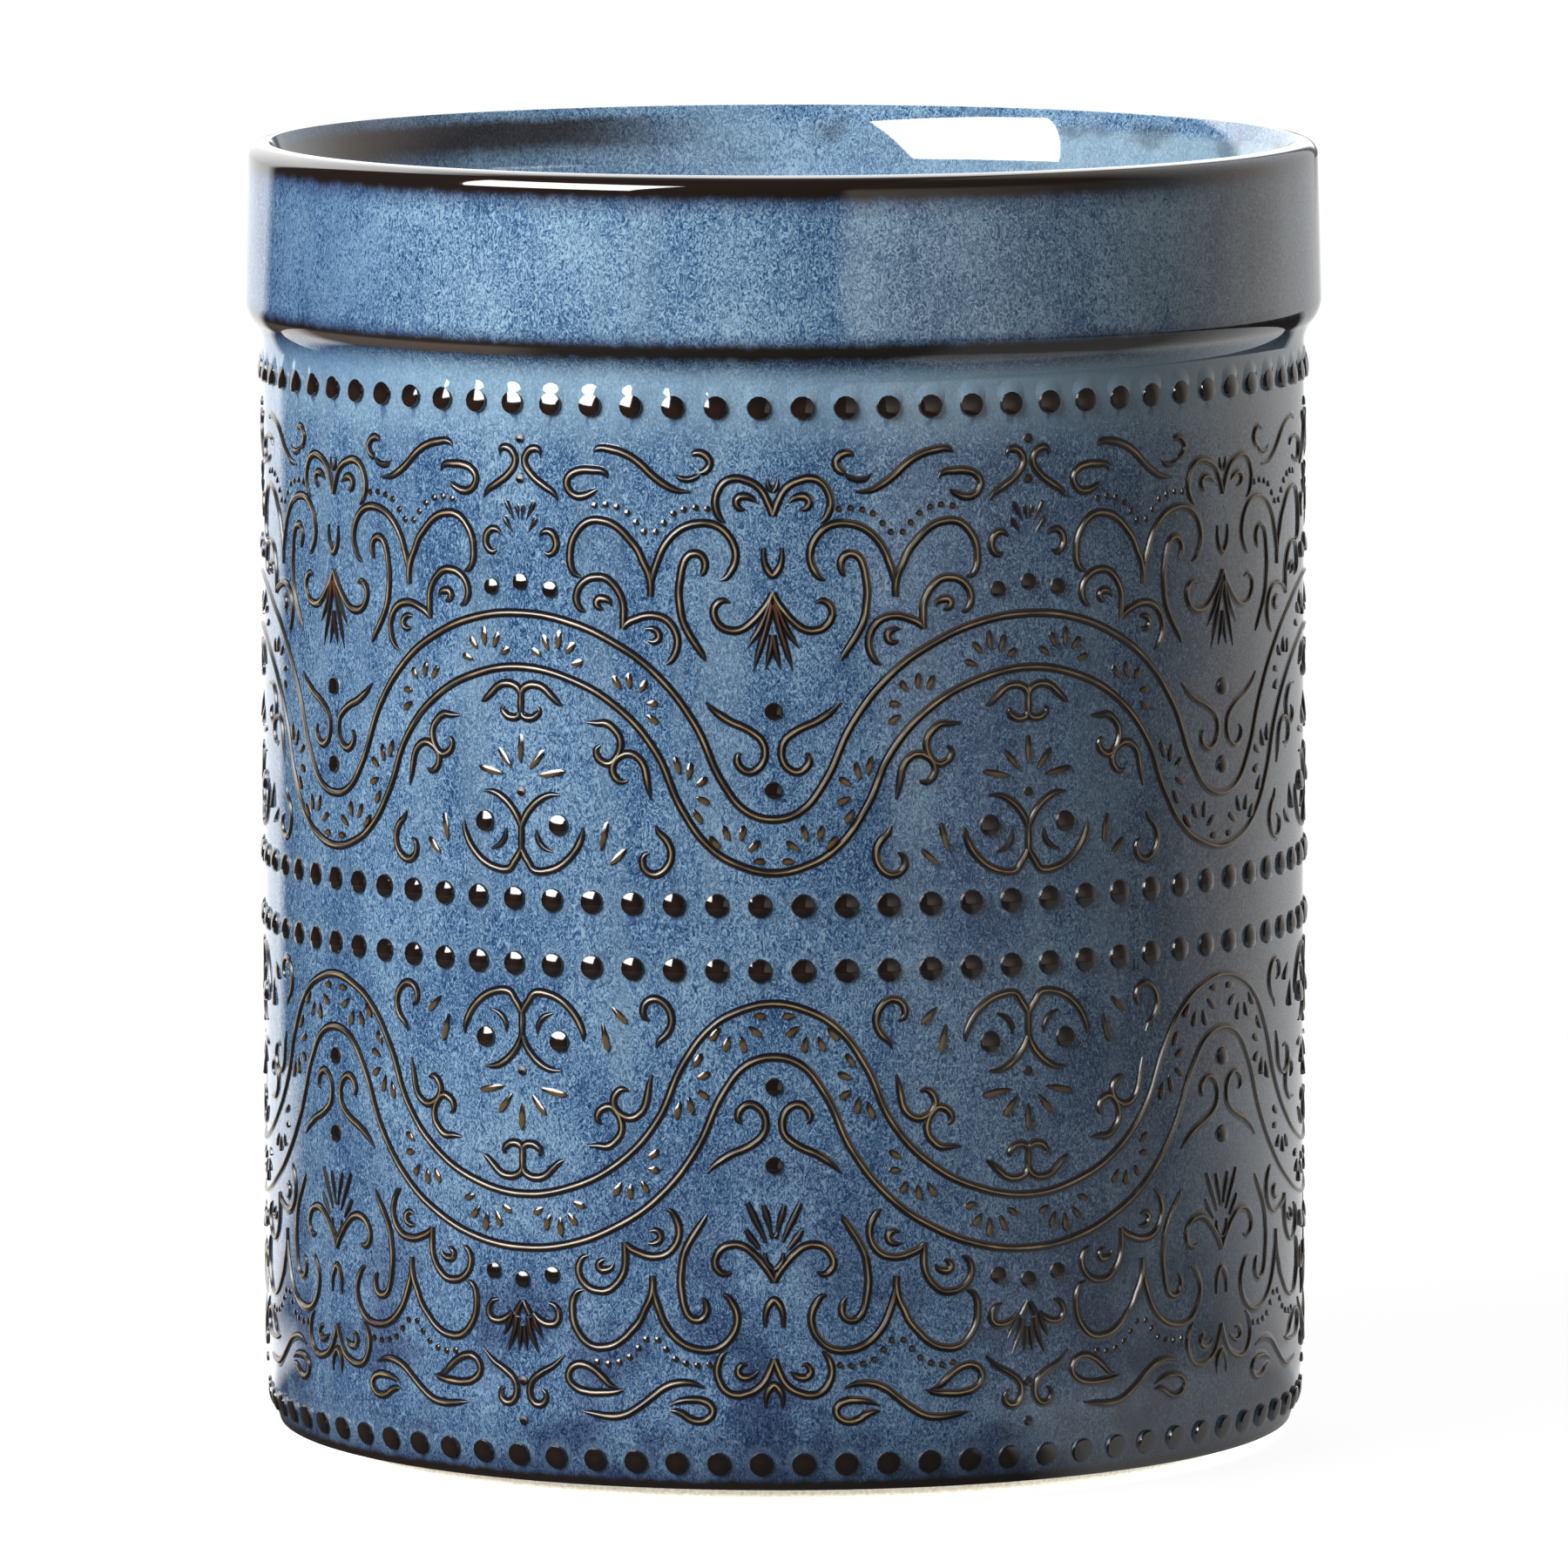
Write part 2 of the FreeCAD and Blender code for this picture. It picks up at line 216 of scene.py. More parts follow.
LYRES = (
    stroke(
        (0.002, 0.408), (0.0055, 0.4205), (0.027, 0.430), (0.064, 0.433), (0.096, 0.428), (0.129, 0.413),
        (0.158, 0.399), (0.176, 0.3935), start=0.8),
    stroke((0.002, 0.376), (0.009, 0.369), (0.042, 0.365), (0.067, 0.371), (0.08, 0.381), (0.071, 0.388),
           start=0.8),
    stroke(
        (0.1655, 0.213), (0.122, 0.212), (0.078, 0.201), (0.042, 0.184), (0.0164, 0.165), (0.002, 0.147),
        end=0.9),
    stroke(
        (0.002, 0.099), (0.013, 0.0876), (0.031, 0.074), (0.049, 0.0606), (0.071, 0.0567), (0.1145, 0.0594),
        (0.158, 0.068), (0.1945, 0.082), (0.224, 0.099), (0.2455, 0.118), (0.258, 0.136), (0.26, 0.151),
        start=0.9),
    stroke((0.067, 0.1416), (0.071, 0.124), (0.093, 0.107), (0.133, 0.097)),
    stroke(
        (0.5495, 0.159), (0.562, 0.145), (0.591, 0.13), (0.608, 0.111), (0.609, 0.095), (0.5945, 0.076),
        (0.5655, 0.0625), (0.54, 0.060), (0.511, 0.0675), (0.4985, 0.082), (0.504, 0.097), (0.5255, 0.104)),
    stroke(
        (0.278, 0.362), (0.318, 0.361), (0.358, 0.361), (0.391, 0.348), (0.411, 0.331), (0.409, 0.307),
        (0.391, 0.29), (0.369, 0.281), (0.34, 0.284), (0.318, 0.296), (0.317, 0.309), (0.333, 0.317)),
    stroke(
        (0.442, 0.2476), (0.416, 0.2446), (0.3945, 0.2515), (0.38, 0.267), (0.387, 0.284), (0.413, 0.297),
        (0.449, 0.302), (0.482, 0.294), (0.504, 0.2785), (0.5145, 0.257), (0.522, 0.234), (0.533, 0.211)),
)
# Stems that stand on the crest axis, drawn once for both halves
STEMS = (
    stroke((0.0, 0.416), (0.0, 0.395), (0.0, 0.372), start=0.9, end=0.9),
    stroke((0.0, 0.15), (0.0, 0.12), (0.0, 0.095), start=0.9, end=0.9),
)
# Seeds from head to tail: one over each crest's axis, others round the lyres and in fans between the waves
AXIS_SEEDS = (
    ((0, 0.331), (0, 0.282)),
)
LYRE_SEEDS = (
    ((0.096, 0.3005), (0.0455, 0.267)), ((0.18, 0.261), (0.0855, 0.2515)),
    ((0.358, 0.163), (0.336, 0.1126)), ((0.43, 0.108), (0.378, 0.081)),
)
FAN_SEEDS = (
    ((0.052, 0.505), (0.085, 0.493)), ((0.099, 0.534), (0.117, 0.507)), ((0.164, 0.544), (0.16, 0.511)),
    ((0.226, 0.521), (0.195, 0.5015)), ((0.259, 0.485), (0.219, 0.478)),
    ((0.385, 0.457), (0.41, 0.434)), ((0.445, 0.463), (0.45, 0.437)), ((0.514, 0.449), (0.493, 0.43)),
    ((0.557, 0.405), (0.52, 0.404)), ((0.557, 0.3665), (0.52, 0.38)), ((0.627, 0.297), (0.642, 0.267)),
    ((0.688, 0.286), (0.676, 0.257)), ((0.747, 0.2565), (0.711, 0.2426)),
    ((0.754, 0.207), (0.711, 0.217)), ((0.724, 0.169), (0.698, 0.192)),
    ((0.761, 0.138), (0.794, 0.1165)), ((0.813, 0.159), (0.83, 0.134)),
    ((0.888, 0.161), (0.877, 0.134)), ((0.948, 0.129), (0.908, 0.113)), ((0.965, 0.09), (0.925, 0.09)),
)
# How wide a seed is, how much longer than drawn, and how much it widens to its head and narrows to its tail
SEED_WIDTH = 1.0
SEED_STRETCH = 1.3
SEED_TAPER = 0.3
# The bands by the collar and by the base are drawn differently
UPPER_BAND = (
    stroke(
        (0.307, 0.906), (0.3255, 0.913), (0.376, 0.912), (0.442, 0.902), (0.493, 0.885), (0.536, 0.864),
        (0.58, 0.8465), (0.631, 0.833), (0.689, 0.830)),
    stroke(
        (0.3655, 0.854), (0.3545, 0.864), (0.3036, 0.869), (0.253, 0.868), (0.216, 0.86), (0.198, 0.8465),
        (0.203, 0.831), (0.231, 0.8176), (0.264, 0.8165), (0.304, 0.825), (0.322, 0.831)),
    stroke(
        (0.693, 0.902), (0.7036, 0.907), (0.729, 0.908), (0.7545, 0.8986), (0.762, 0.887), (0.747, 0.8735),
        (0.7255, 0.868), end=0.8),
    stroke((0.727, 0.868), (0.71, 0.86), (0.653, 0.856), (0.624, 0.868), start=0.35, end=0.2),
    stroke(
        (0.088, 0.889), (0.083, 0.905), (0.055, 0.908), (0.028, 0.897), (0.02, 0.881), (0.049, 0.856),
        (0.107, 0.833), (0.144, 0.820), (0.162, 0.806), start=0.25),
    stroke((0.98, 0.858), (0.986, 0.840), (1.0, 0.831), start=0.4, end=0.6),
    stroke(
        (0.082, 0.733), (0.104, 0.742), (0.133, 0.7405), (0.153, 0.723), (0.147, 0.706), (0.122, 0.697),
        (0.104, 0.701)),
)
LOWER_BAND = (
    stroke(
        (0.246, 0.9006), (0.294, 0.9045), (0.3645, 0.9085), (0.4186, 0.9045), (0.473, 0.8887),
        (0.5265, 0.867), (0.58, 0.8453), (0.632, 0.8354), (0.685, 0.8354), (0.734, 0.8445), start=0.3),
    stroke(
        (0.42, 0.852), (0.395, 0.857), (0.333, 0.861), (0.27, 0.861), (0.222, 0.853), (0.194, 0.8354),
        (0.198, 0.8196), (0.222, 0.8077), (0.254, 0.8058), (0.294, 0.8137), (0.333, 0.8295),
        (0.3645, 0.845), (0.405, 0.852), start=0.3, end=0.3),
    stroke(
        (0.597, 0.882), (0.635, 0.873), (0.686, 0.869), (0.730, 0.871), (0.759, 0.881), (0.765, 0.893),
        (0.748, 0.9065), (0.7155, 0.9124), (0.679, 0.9085), (0.650, 0.8986), (0.621, 0.893),
        (0.597, 0.892), start=0.3, end=0.3),
    stroke(
        (0.1777, 0.789), (0.1327, 0.8117), (0.0755, 0.8295), (0.038, 0.847), (0.028, 0.867), (0.038, 0.8848),
        (0.0628, 0.8938), (0.093, 0.8867), (0.0968, 0.871), (0.08, 0.861)),
    stroke((0.969, 0.883), (0.969, 0.862), (0.982, 0.845), (1.0, 0.837), end=1.0),
    stroke(
        (0.046, 0.709), (0.0755, 0.7228), (0.1166, 0.7287), (0.145, 0.7228), (0.153, 0.707), (0.137, 0.691),
        (0.1087, 0.6853), start=0.8),
)
# Leaves are cut deep, so the glaze pools dark between them
UPPER_LEAVES = (
    seed((0.016, 0.7945), (0.0055, 0.765), 0.7), seed((0.064, 0.802), (0.024, 0.762), 0.8),
    seed((0.073, 0.769), (0.032, 0.738), 0.8),
    stroke(
        (0.992, 0.612), (0.972, 0.585), (0.95, 0.557), (0.927, 0.538), (0.902, 0.518), start=1.1, end=0.3),
    stroke(
        (0.996, 0.606), (0.977, 0.565), (0.958, 0.53), (0.942, 0.502), (0.925, 0.471), start=1.2, end=0.3),
    stroke((0.999, 0.545), (0.991, 0.515), (0.984, 0.4995), (0.972, 0.477), start=0.9, end=0.4),
)
LOWER_LEAVES = (
    stroke((0.046, 0.712), (0.056, 0.728), (0.07, 0.743), (0.085, 0.757), start=0.9, end=0.4),
    stroke((0.026, 0.718), (0.034, 0.745), (0.05, 0.767), (0.067, 0.789), start=1.1, end=0.4),
    stroke((0.006, 0.735), (0.009, 0.75), (0.013, 0.768), (0.018, 0.785), start=0.9, end=0.4),
    stroke((0.03, 0.712), (0.012, 0.695), (0.002, 0.685), start=1.1, end=0.7),
    stroke((0.969, 0.548), (0.948, 0.523), (0.924, 0.497), (0.899, 0.468), start=0.6, end=0.8),
    stroke((0.988, 0.528), (0.980, 0.510), (0.970, 0.492), (0.960, 0.472), start=0.6, end=0.7),
    stroke((1.0, 0.536), (0.993, 0.5345), (0.986, 0.527), start=0.7, end=0.6),
    stroke((0.945, 0.562), (0.930, 0.551), (0.911, 0.538), (0.892, 0.522), start=0.6, end=0.7),
    stroke((0.966, 0.568), (0.968, 0.585), (0.982, 0.598), (1.0, 0.604), start=0.6, end=0.7),
)
# The chain of fine dots, as a share of the half repeat and of the register
DOTS = (
    (0.311, 0.799), (0.356, 0.802), (0.40, 0.7976), (0.442, 0.786), (0.476, 0.7675), (0.507, 0.749),
    (0.553, 0.749), (0.585, 0.7675), (0.6215, 0.787), (0.662, 0.795), (0.707, 0.799), (0.752, 0.797),
)
DOT_DIAMETER = 0.95
DOT_RISE = 0.25 * DOT_DIAMETER
# Studs: share of the half repeat, share of the register, diameter; they rise by a share of the diameter
STUDS = (
    (0.0, 0.928, 1.4), (0.0, 0.847, 1.4), (0.0, 0.640, 2.4), (0.127, 0.627, 2.4), (0.0, 0.217, 1.4),
    (0.160, 0.153, 3.0), (1.0, 0.392, 2.5), (1.0, 0.233, 2.5),
)
STUD_RISE_SHARE = 0.21

# Section across a raised line: a narrow crown on a wide flat skirt, closed under the wall's surface
LINE_RISE = 0.34
LINE_SECTION = (
    (-0.85, -0.02), (-0.68, 0.012), (-0.31, 0.04), (-0.17, 0.29), (0.0, LINE_RISE), (0.17, 0.29),
    (0.31, 0.04), (0.68, 0.012), (0.85, -0.02), (0.5, -0.3), (-0.5, -0.3),
)
SEED_RISE = 0.3
# How much thicker a seed is per millimetre of its fall
SEED_LEAN = 0.13
# How far a bead's crown falls to its edge, as a share of its rise: full crowns, flatter ones and mounds
FULL_CROWN = 0.43
FLAT_CROWN = 0.3
MOUND_CROWN = 0.92
# How far the glaze sank from a bead's top to its foot before it set, as a share of its rise
COLLAR_LEAN = 0.38
BEAD_LEAN = 0.14
BASE_LEAN = 0.0
STUD_LEAN = 0.36
# The glaze that ran off the collar lies on top of its beads in a lump
LUMP_DIAMETER = 4.2
LUMP_UP = 1.2
LUMP_RISE = 0.36
LUMP_LEAN = 0.8
# A crown's edge, as a share of the bead's radius, and the points of a bead's round and of a line's bends
CROWN_EDGE = 0.92
BEAD_STEPS = 14
DOT_STEPS = 8
WAVE_STEPS = 10
SCROLL_STEPS = 4


# Shapes


def turned(outline):
    """A closed outline of (radius, height, round) corners, rounded and turned once about the axis."""
    bm = bmesh.new()
    corners = [bm.verts.new((radius * MM, 0, height * MM)) for radius, height, _ in outline]
    for i, corner in enumerate(corners):
        bm.edges.new((corners[i - 1], corner))
    for corner, (_, _, ease) in zip(corners, outline):
        if ease:
            bmesh.ops.bevel(
                bm, geom=[corner], offset=ease * MM, offset_type="OFFSET", affect="VERTICES",
                segments=EASE_STEPS, profile=0.5, material=-1)
    bmesh.ops.spin(
        bm, geom=bm.verts[:] + bm.edges[:], axis=(0, 0, 1), angle=2 * math.pi,
        steps=ROUND_STEPS, use_merge=True)
    bmesh.ops.remove_doubles(bm, verts=bm.verts, dist=0.01 * MM)
    return bm


def dome(steps, crown):
    """A bead of unit radius and rise, lying flat: a crown with steep edges, closed under the wall."""
    bm = bmesh.new()
    # Out over the crown, down its steep edge and in under the wall
    outline = [
        (radius, 1.0 - crown * (radius / CROWN_EDGE) ** 2) for radius in (0.0, 0.36, 0.68, CROWN_EDGE)]
    outline += [(1.0, min(0.1, 0.5 * (1.0 - crown))), (1.03, -0.05), (0.0, -0.5)]
    line = [bm.verts.new((radius, 0, rise)) for radius, rise in outline]
    for first, second in zip(line, line[1:]):
        bm.edges.new((first, second))
    bmesh.ops.spin(
        bm, geom=bm.verts[:] + bm.edges[:], axis=(0, 0, 1), angle=2 * math.pi, steps=steps, use_merge=True)
    bmesh.ops.remove_doubles(bm, verts=bm.verts, dist=0.001)
    flat = bpy.data.meshes.new("dome")
    bm.to_mesh(flat)
    bm.free()
    return flat


def domes(flat, places, lean):
    """Beads on the wall, each at an angle and a height, with its diameter and rise; they lean downwards."""
    bm = bmesh.new()
    for angle, height, diameter, rise in places:
        done = len(bm.verts)
        bm.from_mesh(flat)
        bm.verts.ensure_lookup_table()
        for v in bm.verts[done:]:
            across, up, out = v.co
            turn = across * diameter / 2 / WALL_RADIUS
            v.co = on_wall(angle + turn, height + up * diameter / 2, out * (1 - lean * up) * rise)
    return bm


def drops(flat, seeds, fall):
    """Seeds, lying flat: beads drawn out from a round head to a narrow tail, thicker at the foot."""
    bm = bmesh.new()
    for ends in seeds:
        head, tail = (Vector((across * HALF_REPEAT, up * REGISTER)) for across, up in ends)
        middle = (head + tail) / 2
        along = (head - tail) / 2 * SEED_STRETCH
        aside = along.orthogonal().normalized() * SEED_WIDTH / 2
        done = len(bm.verts)
        bm.from_mesh(flat)
        bm.verts.ensure_lookup_table()
        for v in bm.verts[done:]:
            across, forward, out = v.co
            place = middle + along * forward + aside * across * (1 + SEED_TAPER * forward)
            sunk = SEED_LEAN * fall * (place.y - middle.y)
            v.co = (place.x, place.y, out * SEED_RISE + (sunk if out > 0 else 0.0))
    mesh = bpy.data.meshes.new("drops")
    bm.to_mesh(mesh)
    bm.free()
    return mesh


def section(name, points):
    """The outline that is swept along a raised line."""
    curve = bpy.data.curves.new(name, "CURVE")
    spline = curve.splines.new("POLY")
    spline.points.add(len(points) - 1)
    for point, (across, out) in zip(spline.points, points):
        point.co = (across, out, 0, 1)
    spline.use_cyclic_u = True
    return bpy.data.objects.new(name, curve)


def ridges(strokes, outline, resolution, caps=True):
    """Raised strokes, lying flat: the outline swept along each smooth line, narrowing with its widths."""
    curve = bpy.data.curves.new("strokes", "CURVE")
    curve.dimensions = "3D"
    curve.twist_mode = "Z_UP"
    curve.resolution_u = resolution
    curve.bevel_mode = "OBJECT"
    curve.bevel_object = outline
    curve.use_fill_caps = caps
    for points in strokes:
        spline = curve.splines.new("BEZIER")
        spline.bezier_points.add(len(points) - 1)
        for knot, (across, up, width) in zip(spline.bezier_points, points):
            knot.co = (across * HALF_REPEAT, up * REGISTER, 0)
            knot.radius = width
            knot.handle_left_type = knot.handle_right_type = "AUTO"
    holder = bpy.data.objects.new("strokes", curve)
    bpy.context.scene.collection.objects.link(holder)
    # A line that reaches an axis at full width runs on level into its mirror image
    for spline in curve.splines:
        knots = spline.bezier_points
        for knot, beside in ((knots[0], knots[1]), (knots[-1], knots[-2])):
            share = knot.co.x / HALF_REPEAT
            if knot.radius == 1.0 and abs(share - round(share)) < 1e-6:
                reach = Vector(((beside.co.x - knot.co.x) / 3, 0, 0))
                knot.handle_left_type = knot.handle_right_type = "FREE"
                knot.handle_right = knot.co + (reach if knot == knots[0] else -reach)
                knot.handle_left = knot.co - (reach if knot == knots[0] else -reach)
    depsgraph = bpy.context.evaluated_depsgraph_get()
    flat = bpy.data.meshes.new_from_object(holder.evaluated_get(depsgraph))
    bpy.data.objects.remove(holder)
    return flat


def laid_round(flats, register):
    """Flat half repeats laid round the wall, each mirrored about every crest; axis pieces are laid once."""
    bm = bmesh.new()
    for crest, way in half_repeats():
        for flat, once in flats:
            if once and way < 0:
                continue
            done = len(bm.verts)
            bm.from_mesh(flat)
            bm.verts.ensure_lookup_table()
            for v in bm.verts[done:]:
                across, up, out = v.co
                angle = ornament_angle(crest + way * across / HALF_REPEAT)
                v.co = on_wall(angle, register(up / REGISTER), out)
    return bm


def add_piece(name, bm, material, slot, *nodes):
    """Makes a finished piece of the crock, in place, and hides the solids it stands for."""
    bmesh.ops.recalc_face_normals(bm, faces=bm.faces)
    for face in bm.faces:
        face.smooth = True
    for edge in bm.edges:
        edge.smooth = edge.calc_face_angle(0.0) < CREASE
    mesh = bpy.data.meshes.new(name)
    bm.to_mesh(mesh)
    bm.free()
    mesh.materials.append(material)
    piece = bpy.data.objects.new(name, mesh)
    bpy.context.scene.collection.objects.link(piece)
    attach(piece, "root")
    if nodes:
        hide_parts(*nodes)


# Finishes; a pattern's scale is one over the size of its marks


def linear(text):
    """An sRGB hex colour as linear red, green, blue and alpha."""
    shares = [int(text[i:i + 2], 16) / 255 for i in (1, 3, 5)]
    return [s / 12.92 if s <= 0.04045 else ((s + 0.055) / 1.055) ** 2.4 for s in shares] + [1.0]


def node(tree, kind, inputs=None, stops=None, out=0, **settings):
    """Adds a node with its settings and links and gives one output; an input is a value or an output."""
    made = tree.nodes.new("ShaderNode" + kind)
    for name, setting in settings.items():
        setattr(made, name, setting)
    if stops:
        elements = made.color_ramp.elements
        while len(elements) < len(stops):
            elements.new(1.0)
        for element, (position, colour) in zip(elements, stops):
            element.position = position
            element.color = linear(colour)
    for socket, source in (inputs or {}).items():
        if isinstance(source, bpy.types.NodeSocket):
            tree.links.new(source, made.inputs[socket])
        else:
            made.inputs[socket].default_value = source
    return made.outputs[out] if made.outputs else None


def emptied(owner):
    """The node function of a material or a world, with its tree emptied."""
    owner.use_nodes = True
    owner.node_tree.nodes.clear()
    return partial(node, owner.node_tree)


EASED = {"interpolation_type": "SMOOTHSTEP"}


def layered(add, colour, *layers, blend="MIX"):
    """A colour with others laid over it in turn, each by its share."""
    for share, text in layers:
        colour = add(
            "Mix", {0: share, 6: colour, 7: linear(text)}, data_type="RGBA", blend_type=blend, out=2)
    return colour


def glaze_place(add):
    """Where a point of the glaze is, in millimetres: its place, its height and its distance off the axis."""
    place = add("VectorMath", {0: add("TexCoord", out="Object"), "Scale": 1 / MM}, operation="SCALE")
    height = add("SeparateXYZ", {0: place}, out="Z")
    flat = add("VectorMath", {0: place, 1: (1, 1, 0)}, operation="MULTIPLY")
    return place, height, add("VectorMath", {0: flat}, operation="LENGTH", out="Value")


def mottled_blue(add, place, height):
    """A reactive blue glaze: curled pale and deep flecks that ran together in the kiln, in soft clouds."""
    upright = add("VectorMath", {0: place, 1: (1, 1, 0.6)}, operation="MULTIPLY")
    flecks = add("TexNoise", {
        "Vector": upright, "Scale": 1 / 0.75, "Detail": 3.0, "Roughness": 0.65,
        "Distortion": 3.2}, out="Fac")
    clouds = add("TexNoise", {"Vector": upright, "Scale": 1 / 12.0, "Detail": 3.0}, out="Fac")
    paler = add("MapRange", {"Value": height, "From Min": 160.0, "From Max": 163.0, "To Max": 0.03})
    tone = add("Math", {0: clouds, 1: 0.24, 2: add("Math", {0: flecks, 1: paler})}, operation="MULTIPLY_ADD")
    blue = add("ValToRGB", {0: tone}, stops=(
        (0.507, "#2A4C7A"), (0.582, "#527AA5"), (0.655, "#7AA4CA"), (0.738, "#B6D7EE")))
    falling = add("VectorMath", {0: place, 1: (1, 1, 0.08)}, operation="MULTIPLY")
    streaks = add("TexNoise", {"Vector": falling, "Scale": 1 / 6.0}, out="Fac")
    runs = add("MapRange", {"Value": streaks, "From Min": 0.52, "From Max": 0.72, "To Max": 0.28}, **EASED)
    # Deeper down the wall than on the collar, with navy pools above the base
    wall = add("MapRange", {"Value": height, "From Min": 156.0, "From Max": 130.0}, **EASED)
    foot = add("MapRange", {"Value": height, "From Min": 70.0, "From Max": 0.0}, **EASED)
    low = add("MapRange", {"Value": height, "From Min": 58.0, "From Max": 10.0}, **EASED)
    puddles = add("TexNoise", {"Vector": place, "Scale": 1 / 11.0, "Detail": 3.0}, out="Fac")
    pools = add("MapRange", {"Value": puddles, "From Min": 0.46, "From Max": 0.62, "To Max": low}, **EASED)
    return layered(
        add, layered(add, blue, (runs, "#A0BED2")), (wall, "#EBEDF2"), (foot, "#E9EBF1"),
        (pools, "#B4B2C3"), blend="MULTIPLY")


def glossy(add, place, colour, roughness):
    """A fired glaze: a glossy coat that is almost smooth, slightly wavy where it flowed.

    Its IOR is above that of glass, 1.5, since the real one mirrors the studio more strongly.
    """
    waves = add("TexNoise", {"Vector": place, "Scale": 1 / 3.5, "Detail": 1.0}, out="Fac")
    bump = add("Bump", {"Strength": 0.12, "Distance": 0.04 * MM, "Height": waves})
    shader = add("BsdfPrincipled", {
        "Base Color": colour, "Roughness": roughness, "IOR": 2.1, "Normal": bump})
    add("OutputMaterial", {"Surface": shader})


def bead_marks(add, place, height):
    """Layers for a pale ring round every bead, and for the dark glaze that dripped off it."""
    front = add("VectorMath", {0: place, 1: (1, -1, 1)}, operation="MULTIPLY")
    angle = add("Math", {
        0: add("SeparateXYZ", {0: front}, out="X"), 1: add("SeparateXYZ", {0: front}, out="Y")},
        operation="ARCTAN2")
    pitch = 2 * math.pi / BEADS
    turns = add("Math", {0: angle, 1: 1 / pitch, 2: -BEAD_PHASE}, operation="MULTIPLY_ADD")
    off = add("Math", {0: turns, 1: add("Math", {0: turns}, operation="ROUND")}, operation="SUBTRACT")
    across = add("Math", {0: off, 1: pitch * WALL_RADIUS}, operation="MULTIPLY")
    wander = add("TexNoise", {"Vector": place, "Scale": 1 / 1.6}, out="Fac")
    astray = add("Math", {0: wander, 1: 3.0, 2: -1.5}, operation="MULTIPLY_ADD")
    beside = add("Math", {0: add("Math", {0: across, 1: astray})}, operation="ABSOLUTE")
    marks = []
    for row in (COLLAR_ROW, UPPER_ROW, LOWER_ROW, BASE_ROW):
        below = add("Math", {0: row, 1: height}, operation="SUBTRACT")
        spot = add("CombineXYZ", {0: across, 1: below})
        far = add("VectorMath", {0: spot}, operation="LENGTH", out="Value")
        ring = add("MapRange", {"Value": far, "From Min": 3.0, "From Max": 2.2, "To Max": 0.2}, **EASED)
        length = add("MapRange", {"Value": below, "From Min": 3.6, "From Max": 2.2, "To Max": 0.6}, **EASED)
        start = add("MapRange", {"Value": below, "From Min": 1.3, "From Max": 1.6, "To Max": length})
        drip = add("MapRange", {
            "Value": beside, "From Min": 0.55, "From Max": 0.2, "To Max": start}, **EASED)
        marks += [(ring, "#8FB2CB"), (drip, "#34508C")]
    return marks


def dark_edges(add, level, radius, side, outside):
    """Layers for the navy and brown glaze on the rim, the collar's lower edge and the base's edge."""
    fading = add("MapRange", {
        "Value": side, "From Min": 45.0, "From Max": 70.0, "To Min": 1.0, "To Max": 0.45})
    over_rim = add("MapRange", {
        "Value": radius, "From Min": LIP_RADIUS + 0.1, "From Max": LIP_RADIUS + 0.6, "To Max": fading})
    edges = []
    # Each starts at a height, is full between the next two and ends at the fourth
    for low, full, full_to, high, strength, where, colour in (
        (177.6, 181.0, 190.0, 191.0, 0.65, over_rim, "#2B3C68"),
        (179.9, 181.5, 190.0, 191.0, 1.0, over_rim, "#221814"),
        (157.0, 159.4, 160.4, 162.8, 0.65, outside, "#2B3C68"),
        (158.3, 159.3, 160.2, 161.3, 1.0, outside, "#221814"),
        (-2.0, -1.0, 3.2, 6.4, 0.5, outside, "#2B3C68"),
        (-2.0, -1.0, 2.9, 3.9, 1.0, outside, "#221814"),
    ):
        fall = add("MapRange", {
            "Value": level, "From Min": high, "From Max": full_to, "To Max": strength}, **EASED)
        climb = add("MapRange", {"Value": level, "From Min": low, "From Max": full, "To Max": fall}, **EASED)
        edges.append((add("Math", {0: climb, 1: where}, operation="MULTIPLY"), colour))
    return edges


def lip_band_and_painted_shade(add, place, level, radius, side):
    """The share of a dark band inside the lip: glaze broken in patches all round, and made whole at the left
    by painted shade and dark reflection.
    """
    within = add("MapRange", {"Value": radius, "From Min": LIP_RADIUS - 0.2, "From Max": LIP_RADIUS - 0.6})
    wide = add("VectorMath", {0: place, 1: (1, 1, 2.0)}, operation="MULTIPLY")
    breaks = add("TexNoise", {"Vector": wide, "Scale": 1 / 9.0, "Detail": 4.0}, out="Fac")
    broken = add("MapRange", {"Value": breaks, "From Min": 0.5, "From Max": 0.66, "To Max": 0.4}, **EASED)
    painted_dark_left = add("MapRange", {"Value": side, "From Min": -6.0, "From Max": -34.0, "To Max": 0.9}, **EASED)
    strong = add("Math", {0: broken, 1: painted_dark_left}, operation="MAXIMUM")
    fall = add("MapRange", {"Value": level, "From Min": 183.4, "From Max": 181.8, "To Max": strong}, **EASED)
    climb = add("MapRange", {"Value": level, "From Min": 176.5, "From Max": 179.6, "To Max": fall}, **EASED)
    return add("Math", {0: climb, 1: within}, operation="MULTIPLY")


